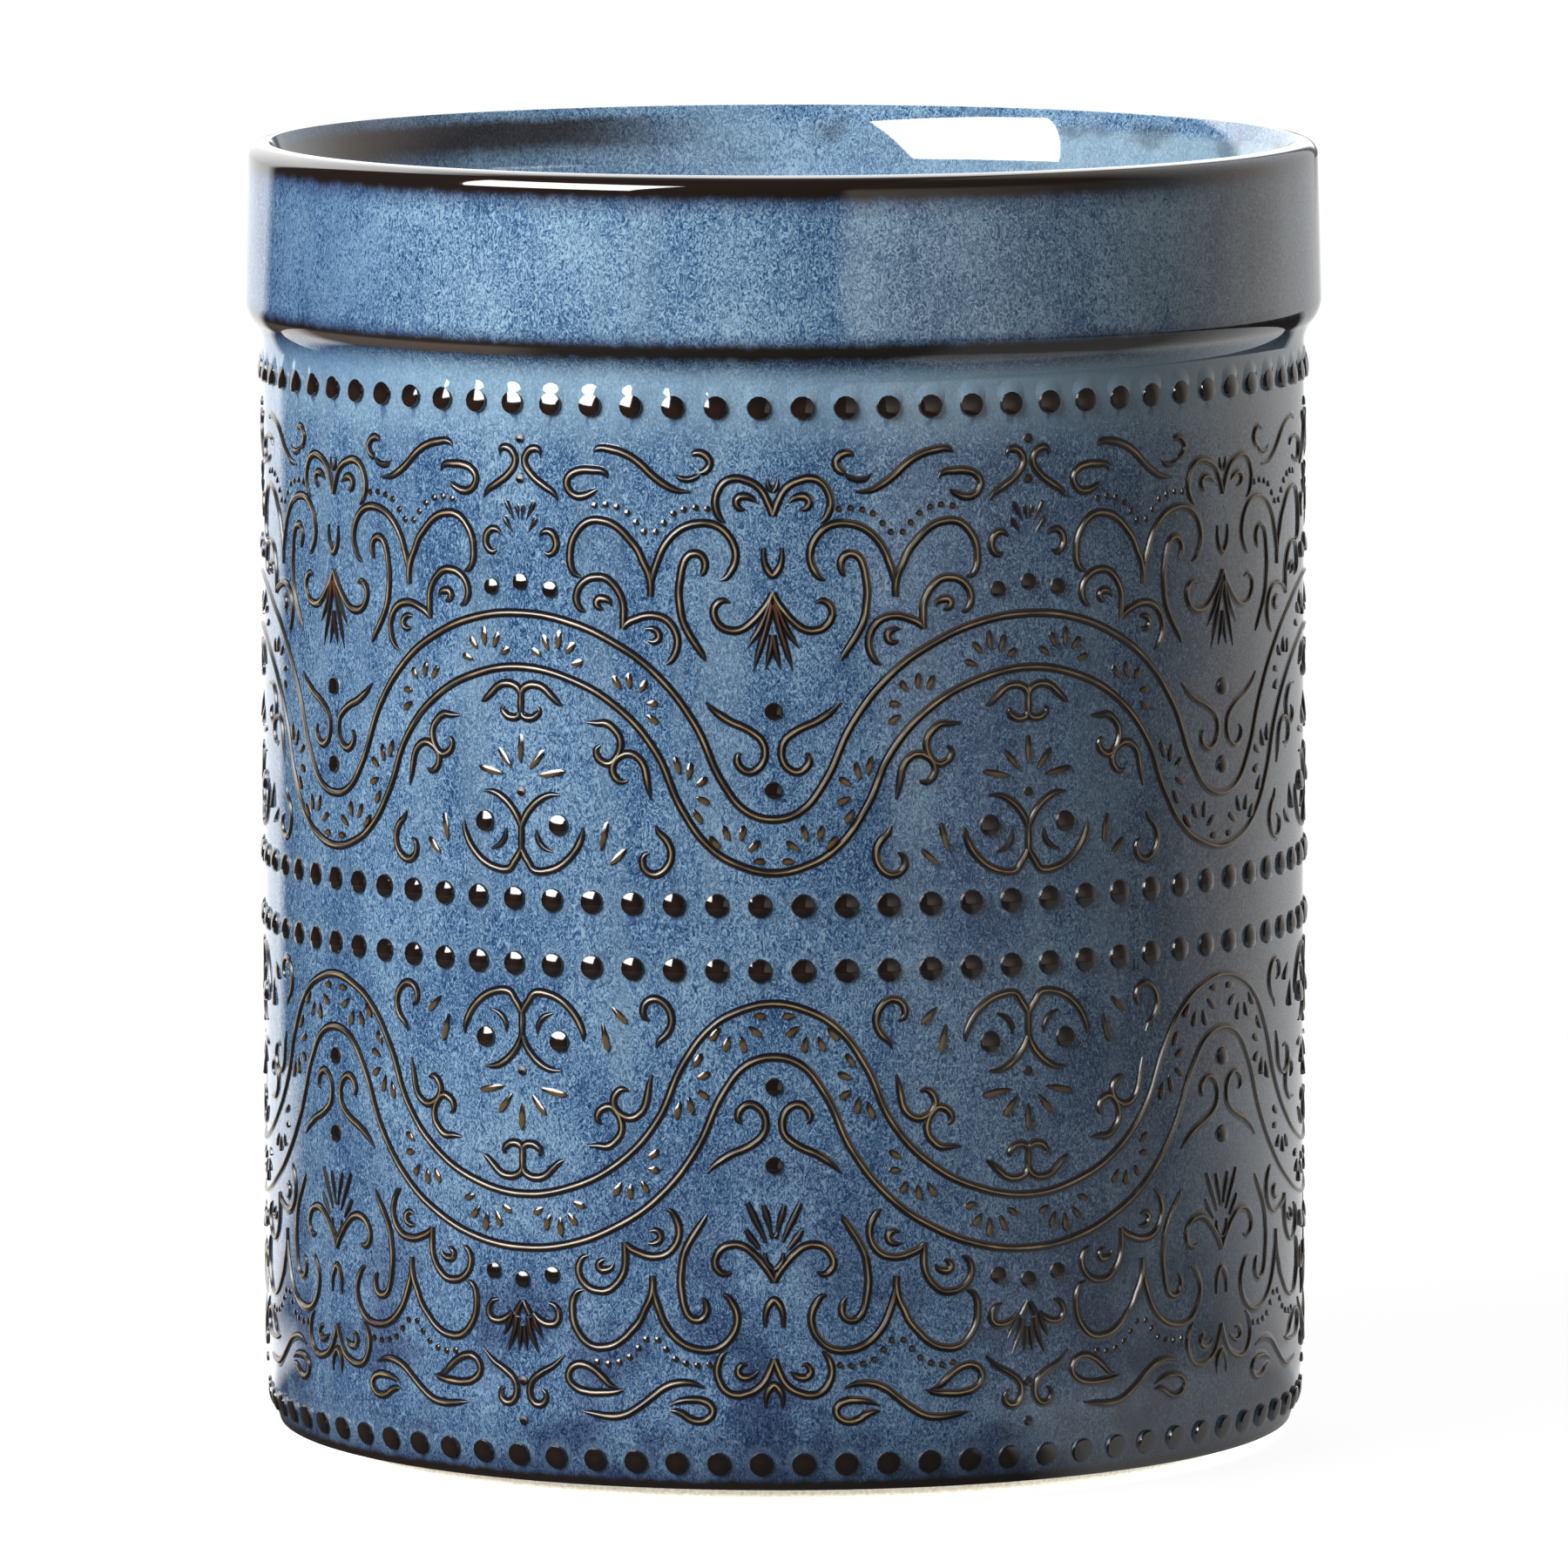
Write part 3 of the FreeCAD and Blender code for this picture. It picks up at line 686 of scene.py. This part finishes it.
def body_glaze():
    """The body's glaze, thin and dark brown on the rim, the collar's lower edge and the base's edge."""
    material = bpy.data.materials.new("reactive_blue_glaze")
    add = emptied(material)
    place, height, radius = glaze_place(add)
    blue = mottled_blue(add, place, height)
    outside = add("MapRange", {
        "Value": radius, "From Min": WALL_RADIUS - 2.5, "From Max": WALL_RADIUS - 2.0})
    inside = add("Math", {0: 1.0, 1: outside}, operation="SUBTRACT")
    # Painted light: paler inside, more so at the right, and most of all in the hollow under the collar,
    # lifting the shade there
    side = add("SeparateXYZ", {0: place}, out="X")
    painted_light_by_side = add("MapRange", {"Value": side, "From Max": 62.0, "To Min": 0.14, "To Max": 0.62}, **EASED)
    painted_light_lining = add("Math", {0: inside, 1: painted_light_by_side}, operation="MULTIPLY")
    share = add("MapRange", {"Value": side, "From Max": 40.0, "To Min": 0.6, "To Max": 0.85})
    under = add("MapRange", {
        "Value": height, "From Min": 158.5, "From Max": 156.0, "To Max": share}, **EASED)
    painted_light_hollow = add("MapRange", {
        "Value": height, "From Min": 144.0, "From Max": 153.5, "To Max": under}, **EASED)
    # The dark glaze is feathered where it ends
    falling = add("VectorMath", {0: place, 1: (1, 1, 0.4)}, operation="MULTIPLY")
    feathers = add("TexNoise", {"Vector": falling, "Scale": 1 / 2.0, "Detail": 4.0}, out="Fac")
    level = add("Math", {0: feathers, 1: 1.3, 2: add("Math", {
        0: height, 1: 0.65}, operation="SUBTRACT")}, operation="MULTIPLY_ADD")
    # Painted reflection: a paler grey-brown band along the collar's lower edge at the left
    rise = add("MapRange", {
        "Value": height, "From Min": 158.5, "From Max": 158.9, "To Max": outside}, **EASED)
    painted_reflection_band = add("MapRange", {
        "Value": height, "From Min": 160.2, "From Max": 159.7, "To Max": rise}, **EASED)
    end = add("MapRange", {"Value": side, "From Min": -29.0, "From Max": -40.0, "To Max": 0.8}, **EASED)
    painted_edge_reflection = add("Math", {0: painted_reflection_band, 1: end}, operation="MULTIPLY")
    # Painted shade: the collar is darker at its far left, where less light reaches it
    collar = add("MapRange", {"Value": height, "From Min": 150.0, "From Max": 157.0})
    painted_shade_left = add("MapRange", {"Value": side, "From Min": -42.0, "From Max": -64.0, "To Max": collar}, **EASED)
    # Painted light on the lining and in the hollow, then the pale rings and dark drips of the glaze round
    # the beads
    colour = layered(add, blue, (painted_light_lining, "#B4D0DF"), *(
        (add("Math", {0: mask, 1: outside}, operation="MULTIPLY"), tint)
        for mask, tint in ((painted_light_hollow, "#A6C9E2"), *bead_marks(add, place, height))))
    # Painted shade over the collar's far left
    colour = layered(add, colour, (painted_shade_left, "#BCCADC"), blend="MULTIPLY")
    # Dark glaze at the edges and in the lip, with painted shade at the lip's left, and a painted reflection
    # along the collar's edge
    colour = layered(
        add, colour, *dark_edges(add, level, radius, side, outside),
        (lip_band_and_painted_shade(add, place, level, radius, side), "#33251F"), (painted_edge_reflection, "#6E6058"))
    glossy(add, place, colour, roughness=0.04)
    return material


def relief_glaze(name, stops, top, roughness, foot, foot_level=0.3):
    """The glaze over a relief: blue at its foot, dark where it pooled, and thin on top to show brown.

    Stops and levels are shares of the top's rise; up to the foot level it has the foot's own roughness.
    """
    material = bpy.data.materials.new(name)
    add = emptied(material)
    place, height, radius = glaze_place(add)
    below = add("Math", {0: add("Math", {0: BASE_TURN, 1: height}, operation="SUBTRACT"), 1: 0.0},
                operation="MAXIMUM")
    drawn_in = add("Math", {0: below, 1: below}, operation="MULTIPLY")
    surface = add("Math", {0: drawn_in, 1: -0.5 / BASE_ARC, 2: WALL_RADIUS}, operation="MULTIPLY_ADD")
    rise = add("Math", {0: radius, 1: surface}, operation="SUBTRACT")
    level = add("MapRange", {"Value": rise, "From Max": top})
    # The glaze lies thicker in places, so the brown comes and goes along a line
    patches = add("TexNoise", {"Vector": place, "Scale": 1 / 4.0, "Detail": 2.0}, out="Fac")
    patchy = add("Math", {0: patches, 1: 0.4, 2: add("Math", {
        0: level, 1: 0.2}, operation="SUBTRACT")}, operation="MULTIPLY_ADD")
    crown = add("ValToRGB", {0: patchy}, stops=stops)
    cover = add("MapRange", {"Value": level, "From Min": 0.02, "From Max": 0.06}, **EASED)
    blue = mottled_blue(add, place, height)
    colour = add("Mix", {0: cover, 6: blue, 7: crown}, data_type="RGBA", out=2)
    gloss = add("MapRange", {
        "Value": level, "From Min": foot_level, "From Max": 1.5 * foot_level,
        "To Min": foot, "To Max": roughness})
    glossy(add, place, colour, gloss)
    return material


def bare_clay():
    """Unglazed stoneware, wiped clean before firing: matt, warm and slightly gritty."""
    material = bpy.data.materials.new("bare_stoneware_clay")
    add = emptied(material)
    where = add("TexCoord", out="Object")
    grit = add("TexNoise", {"Vector": where, "Scale": 1 / (0.5 * MM), "Detail": 3.0}, out="Fac")
    colour = add("ValToRGB", {0: grit}, stops=((0.3, "#D3C6AE"), (0.55, "#E9DFCA"), (0.75, "#F2EADB")))
    bump = add("Bump", {"Strength": 0.3, "Distance": 0.05 * MM, "Height": grit})
    add("OutputMaterial", {"Surface": add("BsdfPrincipled", {
        "Base Color": colour, "Roughness": 0.8, "Normal": bump})})
    return material


# The crock

BLUE = body_glaze()
DARK = relief_glaze(
    "dark_breaking_glaze",
    ((0.0, "#1B1412"), (0.35, "#140D0B"), (0.8, "#1A100C"), (1.0, "#2C1B13")),
    BEAD_RISE, roughness=0.07, foot=0.45)
BRONZE = relief_glaze(
    "bronze_breaking_glaze",
    ((0.0, "#1A171C"), (0.8, "#130D0C"), (0.92, "#7A6341"), (1.0, "#BFA67C")),
    LINE_RISE, roughness=0.3, foot=0.06, foot_level=0.1)
BROWN = relief_glaze(
    "brown_breaking_glaze",
    ((0.0, "#1D1A1E"), (0.5, "#17110F"), (0.8, "#382818"), (1.0, "#6E5838")),
    SEED_RISE, roughness=0.1, foot=0.1)
LEAF = relief_glaze(
    "amber_breaking_glaze",
    ((0.0, "#17141B"), (0.7, "#110C0C"), (0.82, "#40200D"), (0.92, "#6E3C18"), (1.0, "#3A1C0C")),
    1.2 * LINE_RISE, roughness=0.3, foot=0.06, foot_level=0.1)
CLAY = bare_clay()

add_piece("glazed_wall", turned((
    (INNER_RADIUS, COVE_TOP, 0), (WALL_RADIUS, COVE_TOP, 0),
    (WALL_RADIUS, JOINT_HEIGHT, 0), (INNER_RADIUS, JOINT_HEIGHT, 0))), BLUE, "blue_glaze", "wall")
add_piece("glazed_base", turned((
    (FLOOR_RADIUS, FOOT_HEIGHT, 0), (BASE_RADIUS, FOOT_HEIGHT, BASE_EDGE_ROUND),
    (WALL_RADIUS, BASE_CORNER, BASE_ROUND), (WALL_RADIUS, COVE_TOP, 0), (INNER_RADIUS, COVE_TOP, 0),
    (INNER_RADIUS, FLOOR_TOP, COVE_ROUND), (FLOOR_RADIUS, FLOOR_TOP, 0))), BLUE, "blue_glaze", "base_ring")
add_piece("glazed_collar", turned((
    (INNER_RADIUS, JOINT_HEIGHT, 0), (WALL_RADIUS, JOINT_HEIGHT, 0), (WALL_RADIUS, OGEE_FOOT, OGEE_ROUND),
    (COLLAR_RADIUS, OGEE_HEAD, OGEE_ROUND), (RIM_RADIUS, RIM_EDGE, RIM_ROUND),
    (LIP_RADIUS, HEIGHT, LIP_ROUND), (MOUTH_RADIUS, MOUTH_EDGE, MOUTH_ROUND),
    (MOUTH_RADIUS, MOUTH_LOW, 0))), BLUE, "blue_glaze", "rim_collar")
add_piece("glazed_floor", turned((
    (0.0, FOOT_HEIGHT, 0), (FLOOR_RADIUS, FOOT_HEIGHT, 0), (FLOOR_RADIUS, FLOOR_TOP, 0),
    (0.0, FLOOR_TOP, 0))), BLUE, "blue_glaze", "floor_slab")
add_piece("bare_foot", turned((
    (FOOT_INNER_RADIUS, 0.0, FOOT_ROUND), (FOOT_OUTER_RADIUS, 0.0, FOOT_ROUND),
    (FOOT_OUTER_RADIUS, FOOT_HEIGHT, 0), (FOOT_INNER_RADIUS, FOOT_HEIGHT, 0))),
    CLAY, "bare_stoneware", "foot_ring")

bead = dome(BEAD_STEPS, FULL_CROWN)
button = dome(BEAD_STEPS, FLAT_CROWN)
bead_angles = [(k + BEAD_PHASE) * 2 * math.pi / BEADS for k in range(BEADS)]
for row_name, row_height, form, lean in (
    ("collar", COLLAR_ROW, button, COLLAR_LEAN), ("upper_middle", UPPER_ROW, bead, BEAD_LEAN),
    ("lower_middle", LOWER_ROW, bead, BEAD_LEAN), ("base", BASE_ROW, button, BASE_LEAN),
):
    row = domes(form, [(angle, row_height, BEAD_DIAMETER, BEAD_RISE) for angle in bead_angles], lean)
    add_piece(f"{row_name}_beads", row, DARK, "dark_glaze", f"{row_name}_bead_row")

lumps = [(angle, COLLAR_ROW + LUMP_UP, LUMP_DIAMETER, LUMP_RISE) for angle in bead_angles]
add_piece("collar_glaze_lumps", domes(dome(BEAD_STEPS, MOUND_CROWN), lumps, LUMP_LEAN), BLUE, "blue_glaze")

dot = dome(DOT_STEPS, FLAT_CROWN)
line_section = section("line_section", LINE_SECTION)
shared_motifs = (
    ("arch_scrolls", ARCHES, (), BRONZE, "bronze_glaze"),
    ("hook_scrolls", HOOKS, (), BRONZE, "bronze_glaze"),
    ("trefoil_scrolls", TREFOILS, (), BRONZE, "bronze_glaze"),
    ("heart_scrolls", HEARTS, (), BRONZE, "bronze_glaze"),
    ("anchor_scrolls", ANCHORS, (), BRONZE, "bronze_glaze"),
    ("lyre_scrolls", LYRES, STEMS, BRONZE, "bronze_glaze"),
)
for level, register, fall, band, leaves in (
    ("upper", upper, -1, UPPER_BAND, UPPER_LEAVES), ("lower", lower, 1, LOWER_BAND, LOWER_LEAVES),
):
    for wave_name, wave in (("outer", OUTER_WAVE), ("inner", INNER_WAVE)):
        ring = laid_round([(ridges([wave], line_section, WAVE_STEPS, caps=False), False)], register)
        bmesh.ops.remove_doubles(ring, verts=ring.verts, dist=0.02 * MM)
        add_piece(
            f"{level}_{wave_name}_wave", ring, BRONZE, "bronze_glaze", f"{level}_{wave_name}_wave_line")
    places = [
        (ornament_angle(crest + way * across), register(up), diameter, STUD_RISE_SHARE * diameter)
        for across, up, diameter in STUDS for crest, way in half_repeats()
        if way > 0 or across not in (0.0, 1.0)
    ]
    add_piece(f"{level}_stud_domes", domes(button, places, STUD_LEAN), DARK, "dark_glaze", f"{level}_studs")
    places = [
        (ornament_angle(crest + way * across), register(up), DOT_DIAMETER, DOT_RISE)
        for across, up in DOTS for crest, way in half_repeats()
    ]
    add_piece(f"{level}_dot_chains", domes(dot, places, STUD_LEAN), BROWN, "bronze_glaze")
    flats = [(drops(dot, LYRE_SEEDS + FAN_SEEDS, fall), False), (drops(dot, AXIS_SEEDS, fall), True)]
    add_piece(f"{level}_seed_fans", laid_round(flats, register), BROWN, "bronze_glaze")
    for name, strokes, axis_strokes, material, slot in shared_motifs + (
        ("band_scrolls", band, (), BRONZE, "bronze_glaze"),
        ("leaves", leaves, (), LEAF, "dark_glaze"),
    ):
        flats = [(ridges(strokes, line_section, SCROLL_STEPS), False)]
        if axis_strokes:
            flats.append((ridges(axis_strokes, line_section, SCROLL_STEPS), True))
        add_piece(f"{level}_{name}", laid_round(flats, register), material, slot)

# Camera, at the photograph's viewing angle: its frame and focal length are in pixels, its angles in radians

FRAME_SIZE = 1800
FOCAL_PIXELS = 17766
SENSOR = 36.0
CAMERA_ASIDE = math.radians(1.15)
CAMERA_TILT = 0.1106
CAMERA_ROLL = 0.00196
CAMERA_DISTANCE = 2184.7 * MM
CAMERA_HEIGHT = 334.8 * MM

camera_data = bpy.data.cameras.new("camera")
camera_data.sensor_width = SENSOR
camera_data.lens = SENSOR * FOCAL_PIXELS / FRAME_SIZE
camera_data.clip_start = 0.05
camera_data.clip_end = 50.0
camera = bpy.data.objects.new("camera", camera_data)
bpy.context.scene.collection.objects.link(camera)
bpy.context.scene.camera = camera
camera.location = (
    CAMERA_DISTANCE * math.sin(CAMERA_ASIDE), -CAMERA_DISTANCE * math.cos(CAMERA_ASIDE), CAMERA_HEIGHT)
look = Vector((
    -math.sin(CAMERA_ASIDE) * math.cos(CAMERA_TILT), math.cos(CAMERA_ASIDE) * math.cos(CAMERA_TILT),
    -math.sin(CAMERA_TILT)))
camera.rotation_mode = "QUATERNION"
camera.rotation_quaternion = (
    look.to_track_quat("-Z", "Y") @ Matrix.Rotation(-CAMERA_ROLL, 3, "Z").to_quaternion())

# Studio, in metres: a pale floor, soft boxes at the left and behind, a dim panel at the right, a white sweep

FLOOR_EDGE = 0.45


def softbox(name, azimuth, elevation, far, width, tall, power, tint="#FFFFFF"):
    """A soft lamp that looks at the crock; azimuth is right of the front."""
    lamp = bpy.data.lights.new(name, "AREA")
    lamp.shape = "RECTANGLE"
    lamp.size = width
    lamp.size_y = tall
    lamp.energy = power
    lamp.color = linear(tint)[:3]
    holder = bpy.data.objects.new(name, lamp)
    bpy.context.scene.collection.objects.link(holder)
    a, e = math.radians(azimuth), math.radians(elevation)
    towards = Vector((math.sin(a) * math.cos(e), -math.cos(a) * math.cos(e), math.sin(e)))
    holder.location = Vector((0, 0, HEIGHT / 2 * MM)) + towards * far
    holder.rotation_mode = "QUATERNION"
    holder.rotation_quaternion = towards.to_track_quat("Z", "Y")
    holder.visible_camera = False
    return holder


def studio_paper():
    """White paper, matt; its lit parts beside and behind the crock show in the glaze alone."""
    material = bpy.data.materials.new("white_studio_paper")
    add = emptied(material)
    paper = add("BsdfDiffuse", {"Color": linear("#525250")})
    spot = add("TexCoord", out="Object")
    off_axis = add("VectorMath", {0: spot}, operation="LENGTH", out="Value")
    white = add("MapRange", {
        "Value": off_axis, "From Min": 0.2, "From Max": 0.42, "To Min": 0.95, "To Max": 1.0})
    seen = add("Math", {0: add("LightPath", out="Is Camera Ray"), 1: white}, operation="MULTIPLY")
    # Light from under the table reaches the foot alone
    shiny = add("LightPath", out="Is Glossy Ray")
    below = add("MapRange", {"Value": off_axis, "From Min": 0.074, "From Max": 0.069, "To Max": 1.6})
    under = add("MapRange", {"Value": shiny, "To Min": below, "To Max": 0.0})
    bearing = add("VectorMath", {0: spot}, operation="NORMALIZE")
    across = add("SeparateXYZ", {0: bearing}, out="X")
    behind = add("SeparateXYZ", {0: bearing}, out="Y")
    # At the right, paler towards the back and near the crock
    close = add("MapRange", {"Value": off_axis, "From Min": 0.18, "From Max": 0.14, "To Max": 0.33})
    paler = add("MapRange", {"Value": behind, "From Max": 0.65, "To Min": 0.13, "To Max": 0.85})
    rightward = add("Math", {0: across, 1: add("Math", {0: behind, 1: 0.0}, operation="MAXIMUM")})
    right = add("MapRange", {"Value": rightward, "From Min": 0.5, "From Max": 0.65, "To Max": add(
        "Math", {0: close, 1: paler}, operation="MAXIMUM")})
    # At the left, bright only well behind the crock
    bright = add("MapRange", {"Value": behind, "From Min": 0.52, "From Max": 0.68, "To Max": 1.4})
    left = add("MapRange", {"Value": across, "From Min": -0.3, "From Max": -0.4, "To Max": bright})
    # Brightest close behind the foot, and more so at the left
    strength = add("MapRange", {
        "Value": across, "From Min": -0.5, "From Max": 0.5, "To Min": 1.7, "To Max": 0.8})
    foot_light = add("MapRange", {
        "Value": off_axis, "From Min": 0.175, "From Max": 0.13, "To Max": strength})
    by_foot = add("MapRange", {"Value": behind, "From Min": 0.2, "From Max": 0.42, "To Max": foot_light})
    beside = add("Math", {0: add("Math", {0: left, 1: right}, operation="MAXIMUM"), 1: by_foot},
                 operation="MAXIMUM")
    sides = add("Math", {0: beside, 1: shiny}, operation="MULTIPLY")
    level = add("Math", {0: add("Math", {0: seen, 1: under}, operation="MAXIMUM"), 1: sides},
                operation="MAXIMUM")
    glow = add("Emission", {"Color": linear("#FFFFFF"), "Strength": level})
    add("OutputMaterial", {"Surface": add("AddShader", {0: paper, 1: glow})})
    return material


def studio_world():
    """A white sweep behind and a warm wall at the right, which show in the glaze; white to the camera."""
    world = bpy.data.worlds.new("studio")
    add = emptied(world)
    direction = add("TexCoord", out="Generated")
    aside = add("SeparateXYZ", {0: direction}, out="X")
    back = add("SeparateXYZ", {0: direction}, out="Y")
    up = add("SeparateXYZ", {0: direction}, out="Z")
    # The sweep: brighter at the left, crisp white in the middle above eye level, shaded at its upper right
    near = add("MapRange", {
        "Value": aside, "From Min": -0.2, "From Max": 0.2, "To Min": 1.35, "To Max": 0.8})
    dull = add("MapRange", {
        "Value": aside, "From Min": -0.1, "From Max": -0.02, "To Min": near, "To Max": 0.2})
    off_middle = add("Math", {0: aside}, operation="ABSOLUTE")
    crisp = add("MapRange", {
        "Value": off_middle, "From Min": 0.1, "From Max": 0.18, "To Min": 3.0, "To Max": near})
    higher = add("MapRange", {"Value": up, "From Max": 0.4, "To Min": crisp, "To Max": 2.4})
    upper_part = add("MapRange", {
        "Value": aside, "From Min": 0.12, "From Max": 0.2, "To Min": higher, "To Max": 0.2})
    middle = add("MapRange", {"Value": up, "From Max": 0.05, "To Min": dull, "To Max": upper_part})
    high = add("MapRange", {
        "Value": up, "From Min": -0.065, "From Max": -0.045, "To Min": near, "To Max": middle})
    top = add("MapRange", {"Value": up, "From Min": 0.7, "From Max": 0.85, "To Min": high, "To Max": 0.15})
    towards_sweep = add(
        "VectorMath", {0: direction, 1: (0.0, 0.866, 0.5)}, operation="DOT_PRODUCT", out="Value")
    sweep = add("MapRange", {
        "Value": towards_sweep, "From Min": 0.64, "From Max": 0.69, "To Min": 0.04, "To Max": top})
    # The right wall: a panel in front whose light falls off, and paler again towards the sweep
    front = add("MapRange", {
        "Value": back, "From Min": -0.97, "From Max": -0.42, "To Min": 0.4, "To Max": 0.13})
    lit = add("MapRange", {
        "Value": up, "From Min": -0.15, "From Max": -0.07, "To Min": 0.13, "To Max": front})
    faded = add("MapRange", {"Value": up, "From Min": 0.15, "From Max": 0.5, "To Min": lit, "To Max": 0.06})
    pale = add("MapRange", {"Value": back, "From Min": -0.15, "From Max": 0.755, "To Max": 0.8})
    wall = add("Math", {0: faded, 1: pale}, operation="MAXIMUM")
    down = add("Math", {0: add("Math", {0: up, 1: 0.06}), 1: 0.0}, operation="MINIMUM")
    slanted = add("Math", {0: down, 1: 2.6, 2: aside}, operation="MULTIPLY_ADD")
    right = add("MapRange", {"Value": slanted, "From Min": 0.22, "From Max": 0.27, "To Max": wall})
    around = add("Math", {0: sweep, 1: right}, operation="MAXIMUM")
    shiny = add("LightPath", out="Is Glossy Ray")
    shine = add("Mix", {0: shiny, 2: 0.04, 3: around}, data_type="FLOAT")
    white = add("Mix", {0: add("LightPath", out="Is Camera Ray"), 2: shine, 3: 1.0}, data_type="FLOAT")
    warm_side = add("MapRange", {"Value": aside, "From Min": 0.1, "From Max": 0.3, "To Max": add(
        "MapRange", {"Value": back, "From Min": 0.85, "From Max": 0.5, "To Max": shiny})})
    tint = layered(add, linear("#FFFFFF"), (warm_side, "#FAEFE3"))
    add("OutputWorld", {"Surface": add("Background", {"Color": tint, "Strength": white})})
    return world


softbox("left_softbox", azimuth=-50, elevation=30, far=1.2, width=0.86, tall=0.8, power=17.3)
# These two light the crock and aren't mirrored in its glaze
for unseen in (
    softbox(
        "right_panel", azimuth=39, elevation=22, far=1.3, width=0.98, tall=1.3, power=1.75, tint="#FFF8EE"),
    softbox("back_softbox", azimuth=180, elevation=30, far=1.2, width=0.7, tall=0.8, power=9.0),
):
    unseen.visible_glossy = False

floor_shape = bmesh.new()
bmesh.ops.create_circle(floor_shape, cap_ends=True, segments=128, radius=FLOOR_EDGE)
floor_mesh = bpy.data.meshes.new("floor")
floor_shape.to_mesh(floor_mesh)
floor_shape.free()
floor_mesh.materials.append(studio_paper())
floor = bpy.data.objects.new("floor", floor_mesh)
bpy.context.scene.collection.objects.link(floor)

bpy.context.scene.world = studio_world()
bpy.context.scene.view_settings.view_transform = "Standard"
